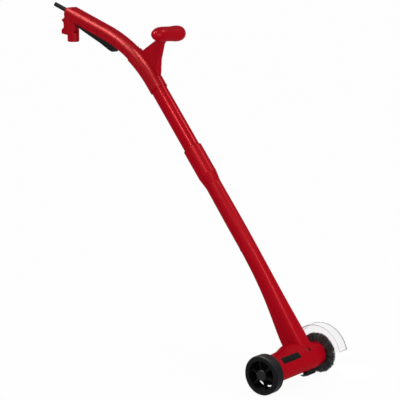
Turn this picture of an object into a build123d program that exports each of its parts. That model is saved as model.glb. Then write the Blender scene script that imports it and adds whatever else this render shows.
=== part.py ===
"""Electric patio cleaner: a long-handled joint brush with a guide wheel.

Frame: +X points forward, away from the user, +Y runs along the spindle from the shaft to the
brush, and +Z is up.  The origin lies on the paving, below the spindle, in the plane of the shaft.
All lengths are millimetres and all angles degrees.
"""
import os
from math import cos, degrees, hypot, pi, radians, sin, tan

from build123d import *

os.makedirs("parts", exist_ok=True)

# Fits
slide_fit = 0.05
running_gap = 0.3
wall = 2.6

# Brush and spindle
brush_radius = 50.0
brush_width = 7.6
brush_hub_radius = 20.0
tuft_count = 36
tuft_slot_width = 1.2
tuft_slot_depth = 17.0
spindle_radius = 6.0
stud_radius = 5.0
stud_length = 18.0
flange_radius = 13.0
flange_thickness = 3.5
clamp_disc_radius = 15.0
clamp_disc_thickness = 2.5
nut_across_flats = 16.0
nut_thickness = 6.0
hub_ring_depth = 1.0

# Head barrel, along the spindle
barrel_radius = 32.0
barrel_to_wheel = 146.0
barrel_to_brush = 29.5
barrel_edge_chamfer = 1.5
nose_radius = 29.0
nose_length = 20.0
nose_step = 4.0
nose_spigot = 8.0
saddle_rise = 13.0
saddle_reach = 93.0
saddle_sink = 1.0
saddle_power = 4

# Guide wheel
wheel_radius = 46.5
wheel_width = 28.0
tyre_depth = 6.5
tyre_chamfer = 3.0
rim_depth = 5.5
web_recess = 9.0
web_thickness = 5.0
hub_radius = 12.5
hub_inset = 5.0
spoke_count = 6
spoke_width = 7.0
rib_width = 2.4
rib_height = 3.5
axle_radius = 5.0
axle_seat = 12.0
axle_washer_radius = 9.0
axle_washer_thickness = 1.2
hub_cap_thickness = 2.0
hub_cap_skirt = 1.9
axle_plate_thickness = 2.0
axle_plate_spigot = 6.0
axle_boss_radius = 11.0

# Motor and planetary stage
motor_radius = 21.5
motor_length = 74.0
motor_from_gear = 4.0
bell_length = 6.0
rotor_radius = 15.0
rotor_length = 46.0
rotor_shaft_radius = 2.5
commutator_radius = 7.0
commutator_length = 12.0
cradle_width = 3.0
cradle_rear_inset = 8.0
cradle_front_inset = 9.0
can_wall = 1.8
rotor_air_gap = 0.6
pole_gap = 8.0
rotor_slots = 8
rotor_slot_depth = 4.0
rotor_slot_width = 2.2
carbon_length = 8.0
carbon_width = 6.0
gear_module = 1.0
sun_teeth = 12
planet_teeth = 18
planet_count = 3
planet_width = 10.0
gear_backlash = 0.25
tooth_tip = 0.8
tooth_root = 1.05
ring_gear_radius = 27.5
ring_gear_width = 16.0
ring_gear_place = -50.0
carrier_radius = 19.0
carrier_thickness = 5.0
planet_pin_radius = 2.0
bearing_radius = 14.0
bearing_width = 8.0
bearing_race = 2.5
bearing_lip = 2.0
inner_bearing_place = -26.0

# Splash guard
guard_radius = 70.0
guard_thickness = 1.6
guard_width = 31.0
guard_web_thickness = 2.0
guard_front_angle = 12.0
guard_rear_angle = 168.0
guard_ring_radius = 31.0

# Spindle lock button
button_length = 34.0
button_width = 12.0
button_reach = 43.0
button_angle = 20.0
button_place = 4.0
button_flange = 2.0
button_flange_thickness = 2.5
button_travel = 4.0
button_chamfer = 1.5
button_sink = 2.4
button_overhang = 14.0
button_slope = 12.0
lock_pin_radius = 2.5
lock_collar_radius = 9.0
lock_collar_width = 12.0

# Label plate, left bare
label_length = 71.0
label_place = -86.5
label_angle = 46.0
label_sweep = 29.0
label_thickness = 0.8

# Shaft
shaft_tilt = 37.5
mouth_back = 341.0
mouth_height = 527.0
tube_radius = 20.5
tube_wall = 2.3
tube_exposed = 197.0
socket_depth = 70.0
socket_radius = 24.0
socket_length = 80.0
socket_taper = 34.0
socket_end_radius = 19.4
socket_run = 150.0
socket_edge_round = 2.0
neck_mid_place = 260.0
neck_mid_bow = 5.5
neck_low_place = 150.0
neck_low_bow = 3.0
neck_low_width = 44.5
neck_low_depth = 47.0
neck_foot_place = 70.0
neck_foot_width = 49.0
neck_foot_depth = 56.0
neck_foot_bow = -1.5
neck_root_place = 6.0
neck_root_depth = 59.0
neck_low_power = 2.5
neck_foot_power = 3.4
shell_screw_radius = 1.7
shell_screw_head_radius = 3.4
shell_screw_head = 2.6
shell_screw_length = 20.0
shell_boss_radius = 4.6
shell_screw_places = (78.0, 300.0)
shell_screw_side = 11.0
shell_screw_seat = 11.0
front_screw_place = 10.6
front_screw_side = 9.0
front_boss_radius = 7.4
front_recess_radius = 5.4
front_screw_foot = 15.0
front_screw_seat = 25.0

# Rear grip
grip_rise = 21.2
bend_radius = 370.0
grip_radius = 20.5
grip_wall = 2.5
grip_length = 147.0
grip_end_round = 7.0
grip_end_wall = 3.0
grip_cut_start = 128.0
grip_cut_end = 10.5
spigot_length = 45.0
spigot_wall = 2.6
stop_radius = 15.5
stop_place = 129.7
stop_drop = 72.9
stop_foot_chamfer = 3.0
hook_thickness = 12.0
hook_reach = 37.0
boot_radius = 4.2
boot_bore = 3.6
boot_length = 46.0
boot_collar_radius = 6.5
boot_collar_length = 4.0

# Trigger and switch gear
trigger_width = 20.0
trigger_side_gap = 0.4
trigger_pin_place = 92.0
trigger_pin_depth = -11.0
trigger_pin_radius = 2.0
trigger_boss_radius = 4.0
trigger_front = -46.0
trigger_rear = 100.0
trigger_front_depth = 34.0
trigger_rear_depth = 22.0
trigger_top = -13.5
pin_half = 14.0
pin_boss_half = 14.5
slot_end_gap = 3.0
slot_top = -5.0
spring_radius = 4.2
spring_width = 5.0
switch_front = -20.0
switch_length = 28.0
switch_low = -5.0
switch_high = 9.0
capacitor_radius = 6.0
capacitor_length = 26.0
capacitor_place = 26.0
lead_radius = 3.0
terminal_place = 228.0
terminal_length = 30.0
terminal_width = 28.0
terminal_depth = 20.0
grip_screw_places = (-95.0, 14.0, 125.0)
grip_screw_depth = 13.0
grip_boss_radius = 3.6
grip_screw_radius = 1.5
grip_screw_head_radius = 2.8
grip_screw_head = 2.2
grip_screw_tip = 10.0
grip_screw_seat = 8.0
grip_boss_half = 15.0

# Support handle
sleeve_wall = 2.6
sleeve_on_tube = 21.0
sleeve_on_bend = 95.0
stem_thickness = 18.0
stem_round = 4.0
bar_ahead = 43.0
bar_above = 123.2
bar_radius = 18.6
bar_near_radius = 10.5
bar_far_radius = 14.0
bar_middle = 8.0
bar_length = 120.0
bar_end_round = 7.0
bar_end_flat = 4.0
stem_profile = (
    (-17.0, 17.0),
    (15.0, 21.0),
    (17.0, 58.0),
    (27.0, 96.0),
    (bar_ahead, bar_above),
    (8.0, 107.0),
    (-39.0, 78.0),
    (-46.0, 52.0),
)
parting_margin = 30.0
support_screw_radius = 1.6
support_screw_head_radius = 2.8
support_screw_head = 2.2
support_screw_length = 11.0
clamp_screw_side = 23.0
clamp_screw_drop = 5.0
lug_radius = 4.4
lug_height = 15.0

# Places that follow from the driving dimensions
spindle_height = brush_radius
nose_face = barrel_to_brush + nose_length
web_face = nose_face + guard_web_thickness
flange_face = web_face + 0.5
brush_face = flange_face + flange_thickness
brush_back = brush_face + brush_width
wheel_inner = -barrel_to_wheel - axle_plate_thickness - 2 * running_gap
wheel_outer = wheel_inner - wheel_width
barrel_bore = barrel_radius - wall
ring_gear_end = ring_gear_place + ring_gear_width
motor_end = ring_gear_place - motor_from_gear
motor_start = motor_end - motor_length
bell_start = motor_start - bell_length
planet_start = ring_gear_place + 3.0
planet_end = planet_start + planet_width
carrier_start = planet_end + 2.0
carrier_end = carrier_start + carrier_thickness
inner_bearing_end = inner_bearing_place + bearing_width
outer_bearing_end = nose_face - 4.0
outer_bearing_place = outer_bearing_end - bearing_width
ring_teeth = sun_teeth + 2 * planet_teeth
planet_orbit = gear_module * (sun_teeth + planet_teeth) / 2

shaft_heading = 90.0 + shaft_tilt
grip_heading = 180.0 - grip_rise
bend_turn = grip_heading - shaft_heading


def heading(angle):
    """Unit vector (x, z) in the plane of the shaft."""
    return cos(radians(angle)), sin(radians(angle))


def stepped(point, direction, distance):
    """Point (x, z) that lies a distance along a heading."""
    return point[0] + direction[0] * distance, point[1] + direction[1] * distance


def section_plane(point, angle, depth=0.0):
    """Plane square to a heading in the plane of the shaft, with its x axis along +Y."""
    dx, dz = heading(angle)
    return Plane(origin=(point[0], depth, point[1]), x_dir=(0, 1, 0), z_dir=(dx, 0, dz))


def cross_plane(place, height=spindle_height, back=0.0):
    """Plane square to the spindle at a place along +Y."""
    return Plane(origin=(-back, place, height), x_dir=(1, 0, 0), z_dir=(0, 1, 0))


def rod(radius, plane, length, mode=Mode.ADD):
    """Cylinder that rises from a plane, in the part being built."""
    with Locations(plane):
        Cylinder(radius, length, align=(Align.CENTER, Align.CENTER, Align.MIN), mode=mode)


def drum(radius, start, end, height=spindle_height, mode=Mode.ADD):
    """Cylinder along +Y between two places, in the part being built."""
    rod(radius, cross_plane(start, height), end - start, mode)


def save(builder, label):
    """Label a finished piece and write it."""
    builder.part.label = label
    export_step(builder.part, f"parts/{label}.step")


# Line of the shaft and the grip
shaft_up = heading(shaft_heading)
shaft_down = heading(shaft_heading + 180)
mouth = (-mouth_back, mouth_height)
bend_start = stepped(mouth, shaft_up, tube_exposed)
neck_top = stepped(mouth, shaft_down, socket_run)
barrel_centre = (0.0, spindle_height)
neck_chord = hypot(neck_top[0], neck_top[1] - spindle_height)
neck_up = (neck_top[0] / neck_chord, (neck_top[1] - spindle_height) / neck_chord)
neck_front = (neck_up[1], -neck_up[0])
neck_plane_dir = (neck_up[0], 0, neck_up[1])
neck_front_dir = (neck_front[0], 0, neck_front[1])


def bend_point(turned):
    """Point on the centre line of the bend after turning by an angle."""
    start, end = radians(shaft_heading), radians(shaft_heading + turned)
    return (
        bend_start[0] + bend_radius * (sin(end) - sin(start)),
        bend_start[1] + bend_radius * (cos(start) - cos(end)),
    )


bend_end = bend_point(bend_turn)
bend_length = radians(bend_turn) * bend_radius


def handle_point(along, above=0.0):
    """Point (x, z) on the handle, measured back from the end of the bend and up from its axis."""
    if along < 0:
        turned = bend_turn + degrees(along / bend_radius)
        point, angle = bend_point(turned), shaft_heading + turned
    else:
        point, angle = stepped(bend_end, heading(grip_heading), along), grip_heading
    return stepped(point, heading(angle - 90), above)


def neck_point(place, bow=0.0):
    """Point (x, z) on the neck, measured up from the spindle and forward of the chord."""
    return stepped(stepped(barrel_centre, neck_up, place), neck_front, bow)


def neck_section(place, bow):
    """Plane across the neck, with its x axis along +Y."""
    x, z = neck_point(place, bow)
    return Plane(origin=(x, 0, z), x_dir=(0, 1, 0), z_dir=neck_plane_dir)


def socket_section(run):
    """Plane across the socket, a run below its mouth, with its x axis along +Y."""
    return section_plane(stepped(mouth, shaft_down, run), shaft_heading)


def squircle(width, depth, power, count=12):
    """Points of |2x/width|^power + |2y/depth|^power = 1, an ellipse at power 2 and boxier above."""
    points = []
    for index in range(count):
        angle = 2 * pi * (index + 0.5) / count
        across, along = cos(angle), sin(angle)
        x = width / 2 * abs(across) ** (2 / power) * (1 if across > 0 else -1)
        y = depth / 2 * abs(along) ** (2 / power) * (1 if along > 0 else -1)
        points.append((x, y))
    return points


neck_width = 2 * tube_radius
neck_sections = (
    (socket_section(socket_depth - 2.0), neck_width, neck_width, 2.0),
    (socket_section(socket_run), neck_width, neck_width, 2.0),
    (neck_section(neck_mid_place, neck_mid_bow), neck_width, neck_width, 2.1),
    (neck_section(neck_low_place, neck_low_bow), neck_low_width, neck_low_depth, neck_low_power),
    (neck_section(neck_foot_place, neck_foot_bow), neck_foot_width, neck_foot_depth, neck_foot_power),
)
neck_root = (neck_section(neck_root_place, neck_foot_bow), neck_foot_width, neck_root_depth, neck_foot_power)
neck_opening = (neck_section(barrel_bore - 1.5, neck_foot_bow), neck_foot_width, neck_root_depth, neck_foot_power)
parting = Plane(origin=(0, 0, spindle_height), x_dir=(0, 1, 0), z_dir=neck_front_dir)

# Head housing, made whole and then parted into a front and a rear shell
with BuildPart() as neck_skin:
    for plane, width, depth, power in neck_sections + (neck_root,):
        with BuildSketch(plane):
            with BuildLine():
                Spline(squircle(width, depth, power), periodic=True)
            make_face()
    loft()

with BuildPart() as neck_hollow:
    for plane, width, depth, power in neck_sections + (neck_opening,):
        with BuildSketch(plane):
            with BuildLine():
                Spline(squircle(width - 2 * wall, depth - 2 * wall, power), periodic=True)
            make_face()
    loft()

# Saddle between neck and barrel: the barrel swells towards the neck, most of all beside it
neck_half = neck_foot_width / 2
saddle_stations = (
    (-neck_half - saddle_reach, -saddle_sink / 2),
    (-neck_half - 0.78 * saddle_reach, 0.26 * saddle_rise),
    (-neck_half - 0.6 * saddle_reach, 0.45 * saddle_rise),
    (-neck_half - 0.45 * saddle_reach, 0.75 * saddle_rise),
    (-neck_half, saddle_rise),
    (0.8 * neck_half, 0.9 * saddle_rise),
    (barrel_to_brush - 2 * barrel_edge_chamfer, -3 * saddle_sink),
)


def saddle_outline(rise, count=16):
    """Points round the spindle that stand above the barrel on the neck's line and dip inside it elsewhere."""
    points = []
    for index in range(count):
        along, across = cos(2 * pi * index / count), sin(2 * pi * index / count)
        reach = barrel_radius - saddle_sink + (rise + saddle_sink) * max(0.0, along) ** saddle_power
        x = reach * (along * neck_up[0] + across * neck_front[0])
        z = reach * (along * neck_up[1] + across * neck_front[1])
        points.append((x, -z))
    return points


with BuildPart() as neck_saddle:
    for place, rise in saddle_stations:
        with BuildSketch(cross_plane(place)):
            with BuildLine():
                Spline(saddle_outline(rise), periodic=True)
            make_face()
    loft()

with BuildPart() as socket_collar:
    rod(socket_radius, socket_section(socket_length), socket_length)
    fillet(socket_collar.edges().sort_by(Axis.Z)[-1], socket_edge_round)
    with Locations(socket_section(socket_length + socket_taper)):
        Cone(socket_end_radius, socket_radius, socket_taper, align=(Align.CENTER, Align.CENTER, Align.MIN))

bays = (
    (-barrel_to_wheel, motor_start + cradle_rear_inset, barrel_bore),
    (motor_start + cradle_rear_inset, motor_start + cradle_rear_inset + cradle_width, motor_radius + slide_fit),
    (motor_start + cradle_rear_inset + cradle_width, motor_end - cradle_front_inset - cradle_width, barrel_bore),
    (motor_end - cradle_front_inset - cradle_width, motor_end - cradle_front_inset, motor_radius + slide_fit),
    (motor_end - cradle_front_inset, ring_gear_place, barrel_bore),
    (ring_gear_place, ring_gear_end, ring_gear_radius + slide_fit),
    (ring_gear_end, ring_gear_end + 1.0, ring_gear_radius - 2.0),
    (ring_gear_end + 1.0, inner_bearing_place - bearing_lip, barrel_bore),
    (inner_bearing_place - bearing_lip, inner_bearing_place, bearing_radius - bearing_race),
    (inner_bearing_place, inner_bearing_end, bearing_radius + slide_fit),
    (inner_bearing_end, inner_bearing_end + bearing_lip, bearing_radius - bearing_race),
    (inner_bearing_end + bearing_lip, barrel_to_brush, barrel_bore),
)

button_out = heading(button_angle - 90)
button_plane = Plane(
    origin=(0, button_place, spindle_height),
    x_dir=(0, 1, 0),
    z_dir=(button_out[0], 0, button_out[1]),
)
button_side = Plane(
    origin=(0, button_place, spindle_height),
    x_dir=(0, 1, 0),
    z_dir=(button_out[1], 0, -button_out[0]),
)
button_seat = barrel_bore - button_sink
button_foot = button_seat - button_flange_thickness
button_clear = button_flange + 2 * running_gap


def shell_screw_plane(place, side, ahead):
    """Plane across a shell screw, facing forward, a distance ahead of the parting plane."""
    x, z = stepped(neck_point(place), neck_front, ahead)
    return Plane(origin=(x, side, z), x_dir=(0, 1, 0), z_dir=neck_front_dir)


shell_screws = tuple((place, side * shell_screw_side) for place in shell_screw_places for side in (-1, 1))

with BuildPart() as shell_bosses:
    for place, side in shell_screws:
        rod(shell_boss_radius, shell_screw_plane(place, side, -2 * tube_radius), 4 * tube_radius)
    add(neck_skin.part, mode=Mode.INTERSECT)

with BuildPart() as front_boss:
    rod(front_boss_radius, shell_screw_plane(front_screw_place, -front_screw_side, front_screw_foot),
        2 * barrel_radius)
    with BuildSketch(cross_plane(-2 * barrel_radius), mode=Mode.PRIVATE) as barrel_disc:
        Circle(barrel_radius - 0.2)
    extrude(barrel_disc.sketch, amount=4 * barrel_radius, mode=Mode.INTERSECT)


def sector(outer, inner, start, end):
    """Face of a ring sector between two elevations, for a plane across the spindle."""
    rays = [(cos(radians(-a)), sin(radians(-a))) for a in (start, (start + end) / 2, end)]
    far = [(outer * x, outer * y) for x, y in rays]
    near = [(inner * x, inner * y) for x, y in rays]
    with BuildSketch() as ring_sector:
        with BuildLine():
            ThreePointArc(*far)
            ThreePointArc(*near)
            Line(far[0], near[0])
            Line(far[2], near[2])
        make_face()
    return ring_sector.sketch


label_start = label_place - label_length / 2
label_low = label_angle - label_sweep / 2
label_high = label_angle + label_sweep / 2
label_play = degrees(slide_fit / barrel_radius)

with BuildPart() as housing:
    drum(barrel_radius, -barrel_to_wheel, barrel_to_brush)
    chamfer(housing.edges().filter_by(GeomType.CIRCLE).sort_by(Axis.Y)[-1], barrel_edge_chamfer)
    add(neck_saddle.part)
    add(neck_skin.part)
    add(socket_collar.part)
    add(neck_hollow.part, mode=Mode.SUBTRACT)
    rod(tube_radius + slide_fit, socket_section(socket_depth), socket_depth, Mode.SUBTRACT)
    for start, end, radius in bays:
        drum(radius, start, end, mode=Mode.SUBTRACT)
    add(shell_bosses.part)
    add(front_boss.part)
    for place, side in shell_screws:
        rod(shell_screw_radius + slide_fit, shell_screw_plane(place, side, -shell_screw_seat),
            shell_screw_length + 1.0, Mode.SUBTRACT)
        rod(shell_screw_head_radius + slide_fit,
            shell_screw_plane(place, side, -shell_screw_seat - 2 * tube_radius), 2 * tube_radius,
            Mode.SUBTRACT)
    rod(shell_screw_radius + slide_fit,
        shell_screw_plane(front_screw_place, -front_screw_side, front_screw_foot + 1.0),
        barrel_radius, Mode.SUBTRACT)
    rod(front_recess_radius,
        shell_screw_plane(front_screw_place, -front_screw_side, front_screw_seat), barrel_radius,
        Mode.SUBTRACT)
    with BuildSketch(button_plane.offset(button_seat)):
        Rectangle(button_length + 2 * running_gap, button_width + 2 * running_gap)
    extrude(amount=button_reach, mode=Mode.SUBTRACT)
    with BuildSketch(cross_plane(label_start - slide_fit)):
        add(sector(barrel_radius + 1.0, barrel_radius - label_thickness,
                   label_low - label_play, label_high + label_play))
    extrude(amount=label_length + 2 * slide_fit, mode=Mode.SUBTRACT)

with BuildPart() as head_front_shell:
    add(housing.part)
    split(bisect_by=parting, keep=Keep.TOP)
save(head_front_shell, "head_front_shell")

with BuildPart() as head_rear_shell:
    add(housing.part)
    split(bisect_by=parting, keep=Keep.BOTTOM)
save(head_rear_shell, "head_rear_shell")

with BuildPart() as head_screws:
    for place, side in shell_screws:
        rod(shell_screw_radius, shell_screw_plane(place, side, -shell_screw_seat), shell_screw_length)
        rod(shell_screw_head_radius, shell_screw_plane(place, side, -shell_screw_seat - shell_screw_head),
            shell_screw_head)
    rod(shell_screw_radius,
        shell_screw_plane(front_screw_place, -front_screw_side, front_screw_foot + 2.0),
        front_screw_seat - front_screw_foot - 2.0)
    rod(shell_screw_head_radius,
        shell_screw_plane(front_screw_place, -front_screw_side, front_screw_seat), shell_screw_head)
save(head_screws, "head_screws")

with BuildPart() as label_plate:
    with BuildSketch(cross_plane(label_start)):
        add(sector(barrel_radius, barrel_radius - label_thickness, label_low, label_high))
    extrude(amount=label_length)
save(label_plate, "label_plate")

# Nose cap that carries the outer spindle bearing and the splash guard
with BuildPart() as nose_cap:
    drum(barrel_bore - slide_fit, barrel_to_brush - nose_spigot, barrel_to_brush)
    drum(nose_radius, barrel_to_brush, nose_face)
    drum(nose_radius - nose_step, nose_face, web_face)
    drum(nose_radius - nose_step, barrel_to_brush - nose_spigot, outer_bearing_place - wall,
         mode=Mode.SUBTRACT)
    drum(bearing_radius + slide_fit, outer_bearing_place - wall, outer_bearing_end, mode=Mode.SUBTRACT)
    drum(spindle_radius + 1.0, outer_bearing_end, web_face, mode=Mode.SUBTRACT)
    with BuildSketch(button_plane.offset(button_foot - button_travel - running_gap)):
        Rectangle(button_length + 2 * button_clear, button_width + 2 * button_clear)
    extrude(amount=barrel_radius, mode=Mode.SUBTRACT)
save(nose_cap, "nose_cap")

with BuildPart() as splash_guard:
    with BuildSketch(cross_plane(nose_face)):
        add(sector(guard_radius, nose_radius, guard_front_angle, guard_rear_angle))
        Circle(guard_ring_radius)
        Circle(nose_radius - nose_step + slide_fit, mode=Mode.SUBTRACT)
    extrude(amount=guard_web_thickness)
    with BuildSketch(cross_plane(nose_face)):
        add(sector(guard_radius, guard_radius - guard_thickness, guard_front_angle, guard_rear_angle))
    extrude(amount=guard_width)
save(splash_guard, "splash_guard")

# Spindle, brush and their bearings
def bearing(place):
    """Sealed ball bearing, as one ring that the spindle runs in."""
    with BuildPart() as ring:
        drum(bearing_radius, place, place + bearing_width)
        drum(spindle_radius + slide_fit, place, place + bearing_width, mode=Mode.SUBTRACT)
    return ring


save(bearing(inner_bearing_place), "inner_spindle_bearing")
save(bearing(outer_bearing_place), "outer_spindle_bearing")

with BuildPart() as spindle:
    drum(spindle_radius, carrier_start, flange_face)
    drum(lock_collar_radius, button_place - lock_collar_width / 2, button_place + lock_collar_width / 2)
    drum(flange_radius, flange_face, brush_face)
    drum(stud_radius, brush_face, brush_face + stud_length)
    chamfer(spindle.edges().filter_by(GeomType.CIRCLE).sort_by(Axis.Y)[-1], 1.0)
save(spindle, "spindle")

with BuildPart() as brush_hub:
    drum(brush_hub_radius, brush_face, brush_back)
    drum(stud_radius + slide_fit, brush_face, brush_back, mode=Mode.SUBTRACT)
    with BuildSketch(cross_plane(brush_back - hub_ring_depth)):
        Circle(brush_hub_radius - 1.5)
        Circle(clamp_disc_radius + 1.0, mode=Mode.SUBTRACT)
    extrude(amount=hub_ring_depth, mode=Mode.SUBTRACT)
save(brush_hub, "brush_hub")

with BuildPart() as brush_bristles:
    drum(brush_radius, brush_face, brush_back)
    drum(brush_hub_radius + slide_fit, brush_face, brush_back, mode=Mode.SUBTRACT)
    with BuildSketch(cross_plane(brush_face)):
        with PolarLocations(brush_radius - tuft_slot_depth / 2 + 0.5, tuft_count):
            Rectangle(tuft_slot_depth + 1.0, tuft_slot_width)
    extrude(amount=brush_width, mode=Mode.SUBTRACT)
save(brush_bristles, "brush_bristles")

with BuildPart() as brush_clamp_disc:
    drum(clamp_disc_radius, brush_back, brush_back + clamp_disc_thickness)
    drum(stud_radius + slide_fit, brush_back, brush_back + clamp_disc_thickness, mode=Mode.SUBTRACT)
save(brush_clamp_disc, "brush_clamp_disc")

nut_place = brush_back + clamp_disc_thickness
with BuildPart() as brush_nut:
    with BuildSketch(cross_plane(nut_place)):
        RegularPolygon(nut_across_flats / 2, 6, major_radius=False)
        Circle(stud_radius + slide_fit, mode=Mode.SUBTRACT)
    extrude(amount=nut_thickness)
save(brush_nut, "brush_nut")

# Planetary stage: the rotor drives the sun, and the carrier turns the spindle
tooth_flank = tan(radians(20))


def tooth(pitch, outward):
    """Trapezoid tooth that points away from the axis, or towards it for an internal gear."""
    half = pi * gear_module / 4 - gear_backlash / 2
    tip = pitch + outward * tooth_tip * gear_module
    foot = pitch - outward * (tooth_root * gear_module + 0.3)
    tip_half = half - tooth_flank * tooth_tip * gear_module
    foot_half = half + tooth_flank * tooth_root * gear_module
    return [(foot, -foot_half), (tip, -tip_half), (tip, tip_half), (foot, foot_half)]


def spur_gear(teeth, start, width, bore, x, z, turn):
    """External gear about an axis along +Y, with one tooth at the turn angle."""
    pitch = gear_module * teeth / 2
    with BuildPart() as gear:
        with BuildSketch(Plane(origin=(x, start, z), x_dir=(1, 0, 0), z_dir=(0, 1, 0))):
            Circle(pitch - tooth_root * gear_module)
            with PolarLocations(0, teeth, start_angle=turn):
                Polygon(tooth(pitch, 1), align=None)
            Circle(bore, mode=Mode.SUBTRACT)
        extrude(amount=width)
    return gear


save(spur_gear(sun_teeth, planet_start, planet_width, rotor_shaft_radius + slide_fit, 0, spindle_height, 0),
     "sun_gear")

planet_angles = [360 / planet_count * index for index in range(planet_count)]
for index, angle in enumerate(planet_angles):
    x = planet_orbit * cos(radians(angle))
    z = spindle_height - planet_orbit * sin(radians(angle))
    phase = angle + 180 + 180 / planet_teeth
    gear = spur_gear(planet_teeth, planet_start, planet_width, planet_pin_radius + slide_fit, x, z, phase)
    save(gear, f"planet_gear_{index + 1}")

ring_pitch = gear_module * ring_teeth / 2
with BuildPart() as ring_gear:
    with BuildSketch(cross_plane(ring_gear_place)):
        Circle(ring_gear_radius)
        Circle(ring_pitch + tooth_root * gear_module, mode=Mode.SUBTRACT)
        with PolarLocations(0, ring_teeth):
            Polygon(tooth(ring_pitch, -1), align=None)
    extrude(amount=ring_gear_width)
save(ring_gear, "ring_gear")

with BuildPart() as planet_carrier:
    drum(carrier_radius, carrier_start, carrier_end)
    drum(spindle_radius + slide_fit, carrier_start, carrier_end, mode=Mode.SUBTRACT)
    for angle in planet_angles:
        x = planet_orbit * cos(radians(angle))
        z = spindle_height - planet_orbit * sin(radians(angle))
        rod(planet_pin_radius, Plane(origin=(x, planet_start - 1.0, z), x_dir=(1, 0, 0), z_dir=(0, 1, 0)),
            carrier_start - planet_start + 1.0)
save(planet_carrier, "planet_carrier")

# Motor
with BuildPart() as motor_can:
    drum(motor_radius, motor_start, motor_end)
    drum(motor_radius - can_wall, motor_start, motor_end - can_wall, mode=Mode.SUBTRACT)
    drum(rotor_shaft_radius + slide_fit, motor_end - can_wall, motor_end, mode=Mode.SUBTRACT)
save(motor_can, "motor_can")

with BuildPart() as motor_end_bell:
    drum(motor_radius, bell_start, motor_start)
    drum(rotor_shaft_radius + slide_fit, bell_start, motor_start, mode=Mode.SUBTRACT)
save(motor_end_bell, "motor_end_bell")

stator_start = motor_end - can_wall - 4.0 - rotor_length
with BuildPart() as motor_stator:
    with BuildSketch(cross_plane(stator_start)):
        Circle(motor_radius - can_wall - slide_fit)
        Circle(rotor_radius + rotor_air_gap, mode=Mode.SUBTRACT)
        Rectangle(pole_gap, 2 * motor_radius, mode=Mode.SUBTRACT)
    extrude(amount=rotor_length)
save(motor_stator, "motor_stator")

with BuildPart() as motor_rotor:
    drum(rotor_shaft_radius, bell_start - 1.0, planet_end)
    drum(rotor_radius, stator_start, stator_start + rotor_length)
    with BuildSketch(cross_plane(stator_start)):
        with PolarLocations(rotor_radius - rotor_slot_depth / 2, rotor_slots):
            Rectangle(rotor_slot_depth + 1.0, rotor_slot_width)
    extrude(amount=rotor_length, mode=Mode.SUBTRACT)
save(motor_rotor, "motor_rotor")

commutator_start = stator_start - 3.0 - commutator_length
with BuildPart() as commutator:
    drum(commutator_radius, commutator_start, commutator_start + commutator_length)
    drum(rotor_shaft_radius + slide_fit, commutator_start, commutator_start + commutator_length,
         mode=Mode.SUBTRACT)
save(commutator, "commutator")

with BuildPart() as carbon_brushes:
    for side in (-1, 1):
        inner = commutator_radius + 0.1
        outer = motor_radius - can_wall - 0.3
        with Locations((side * (inner + outer) / 2, commutator_start + commutator_length / 2, spindle_height)):
            Box(outer - inner, carbon_length, carbon_width)
save(carbon_brushes, "carbon_brushes")

# Guide wheel on its stub axle
hub_face = wheel_outer + hub_inset
axle_end = hub_face - running_gap - axle_washer_thickness
axle_root = -barrel_to_wheel - axle_plate_thickness + axle_seat

with BuildPart() as axle_plate:
    drum(barrel_radius, -barrel_to_wheel - axle_plate_thickness, -barrel_to_wheel)
    drum(barrel_bore - slide_fit, -barrel_to_wheel, -barrel_to_wheel + axle_plate_spigot)
    drum(barrel_bore - slide_fit - wall, -barrel_to_wheel, -barrel_to_wheel + axle_plate_spigot,
         mode=Mode.SUBTRACT)
    drum(axle_boss_radius, -barrel_to_wheel - axle_plate_thickness, axle_root, height=wheel_radius)
    drum(axle_radius + slide_fit, -barrel_to_wheel - axle_plate_thickness, axle_root, height=wheel_radius,
         mode=Mode.SUBTRACT)
save(axle_plate, "axle_plate")

with BuildPart() as wheel_axle:
    drum(axle_radius, axle_end, axle_root, height=wheel_radius)
save(wheel_axle, "wheel_axle")

with BuildPart() as axle_washer:
    drum(axle_washer_radius, axle_end, axle_end + axle_washer_thickness, height=wheel_radius)
    drum(axle_radius + slide_fit, axle_end, axle_end + axle_washer_thickness, height=wheel_radius,
         mode=Mode.SUBTRACT)
save(axle_washer, "axle_washer")

rim_radius = wheel_radius - tyre_depth
with BuildPart() as wheel_rim:
    drum(rim_radius, wheel_outer, wheel_inner, height=wheel_radius)
    drum(rim_radius - rim_depth, wheel_outer, wheel_inner, height=wheel_radius, mode=Mode.SUBTRACT)
    drum(rim_radius - rim_depth / 2, wheel_outer + web_recess, wheel_outer + web_recess + web_thickness,
         height=wheel_radius)
    with BuildSketch(cross_plane(wheel_outer + web_recess, wheel_radius)):
        Circle(rim_radius - rim_depth - 1.0)
        Circle(hub_radius + 2.0, mode=Mode.SUBTRACT)
        with PolarLocations(0, spoke_count, start_angle=15):
            Rectangle(rim_radius, spoke_width, align=(Align.MIN, Align.CENTER), mode=Mode.SUBTRACT)
    extrude(amount=web_thickness, mode=Mode.SUBTRACT)
    drum(hub_radius, hub_face, wheel_inner, height=wheel_radius)
    with BuildSketch(cross_plane(wheel_outer + web_recess - rib_height, wheel_radius)):
        with PolarLocations(hub_radius - 1.0, spoke_count, start_angle=15):
            Rectangle(rim_radius - rim_depth - hub_radius + 2.0, rib_width, align=(Align.MIN, Align.CENTER))
    extrude(amount=rib_height)
    drum(axle_radius + slide_fit, hub_face, wheel_inner, height=wheel_radius, mode=Mode.SUBTRACT)
save(wheel_rim, "wheel_rim")

with BuildPart() as wheel_tyre:
    drum(wheel_radius, wheel_outer, wheel_inner, height=wheel_radius)
    chamfer(wheel_tyre.edges().filter_by(GeomType.CIRCLE), tyre_chamfer)
    drum(rim_radius + slide_fit, wheel_outer, wheel_inner, height=wheel_radius, mode=Mode.SUBTRACT)
save(wheel_tyre, "wheel_tyre")

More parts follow.
